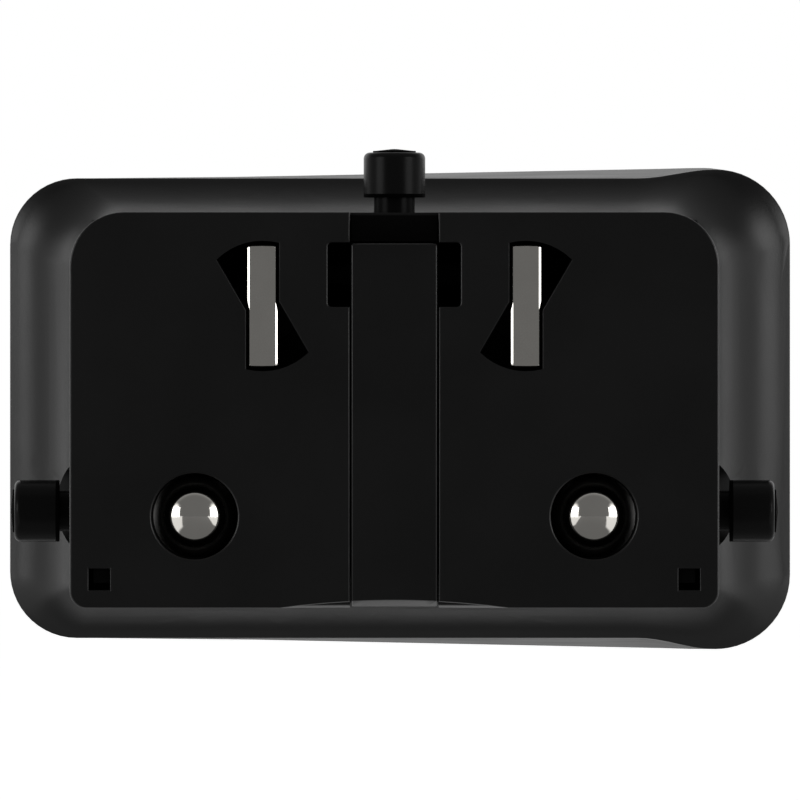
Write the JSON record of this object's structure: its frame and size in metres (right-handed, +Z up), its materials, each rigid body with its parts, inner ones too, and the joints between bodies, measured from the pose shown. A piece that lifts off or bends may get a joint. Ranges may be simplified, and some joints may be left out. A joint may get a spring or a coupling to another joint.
{
  "type": "travel adapter",
  "caption": "Pocket travel adapter for two-pole mains plugs, with slide-out round pins, twisting flat blades, a folding shutter pin and a combined socket on the back.",
  "frame": {"origin": "middle of the plug face, the flat front that goes against the wall socket", "axes": "+X across the face to the right seen from the front, +Y from the plug face into the adapter towards the socket side, +Z up"},
  "size_m": [0.0386, 0.0525, 0.0249],
  "materials": {
    "case_black": "matt",
    "knob_black": "satin",
    "frame_grey": "matt",
    "sleeve_black": "satin",
    "nickel": "nickel plated",
    "brass": "bare",
    "steel": "plated"
  },
  "bodies": {
    "case": {"front_housing": "case_black", "rear_housing": "case_black", "end_cap": "case_black", "guide_frame": "frame_grey", "contact_holder": "frame_grey", "case_screws": "steel", "arm_hinge_pin": "steel", "current_rail_left": "brass", "current_rail_right": "brass", "socket_contact_left": "brass", "socket_contact_right": "brass"},
    "round_pins": {"euro_carrier": "frame_grey", "euro_pin_left": "nickel", "euro_pin_right": "nickel", "pin_sleeve_left": "sleeve_black", "pin_sleeve_right": "sleeve_black", "pin_finger_left": "brass", "pin_finger_right": "brass", "side_knob_spring_left": "steel", "side_knob_spring_right": "steel"},
    "left_knob": {"side_knob_left": "knob_black"},
    "right_knob": {"side_knob_right": "knob_black"},
    "blade_slide": {"blade_carrier": "frame_grey", "blade_finger_left": "brass", "blade_finger_right": "brass", "top_knob_spring": "steel"},
    "upper_knob": {"top_knob": "knob_black"},
    "left_blade": {"blade_left": "nickel"},
    "right_blade": {"blade_right": "nickel"},
    "arm": {"folding_arm": "case_black"}
  },
  "joints": [
    {"name": "round_pins_slide", "type": "slide", "parent": "case", "child": "round_pins", "axis": [0, -1, 0], "range_m": [0, 0.0191]},
    {"name": "blades_slide", "type": "slide", "parent": "case", "child": "blade_slide", "axis": [0, -1, 0], "range_m": [0, 0.0168]},
    {"name": "left_knob_press", "type": "slide", "parent": "round_pins", "child": "left_knob", "axis": [1, 0, 0], "range_m": [0, 0.0007], "stiffness_N_per_m": 900, "springref_m": -0.0006, "deforming": ["side_knob_spring_left"]},
    {"name": "right_knob_press", "type": "slide", "parent": "round_pins", "child": "right_knob", "axis": [-1, 0, 0], "range_m": [0, 0.0007], "stiffness_N_per_m": 900, "springref_m": -0.0006, "deforming": ["side_knob_spring_right"]},
    {"name": "upper_knob_press", "type": "slide", "parent": "blade_slide", "child": "upper_knob", "axis": [0, 0, -1], "range_m": [0, 0.0007], "stiffness_N_per_m": 900, "springref_m": -0.0006, "deforming": ["top_knob_spring"]},
    {"name": "left_blade_twist", "type": "hinge", "parent": "blade_slide", "child": "left_blade", "pos_m": [-0.00631, 0, 0.00498], "axis": [0, -1, 0], "range_deg": [0, 30]},
    {"name": "right_blade_twist", "type": "hinge", "parent": "blade_slide", "child": "right_blade", "pos_m": [0.00631, 0, 0.00498], "axis": [0, 1, 0], "range_deg": [0, 30]},
    {"name": "arm_fold", "type": "hinge", "parent": "case", "child": "arm", "pos_m": [0, 0.0015, 0.00646], "axis": [-1, 0, 0], "range_deg": [0, 180]}
  ]
}
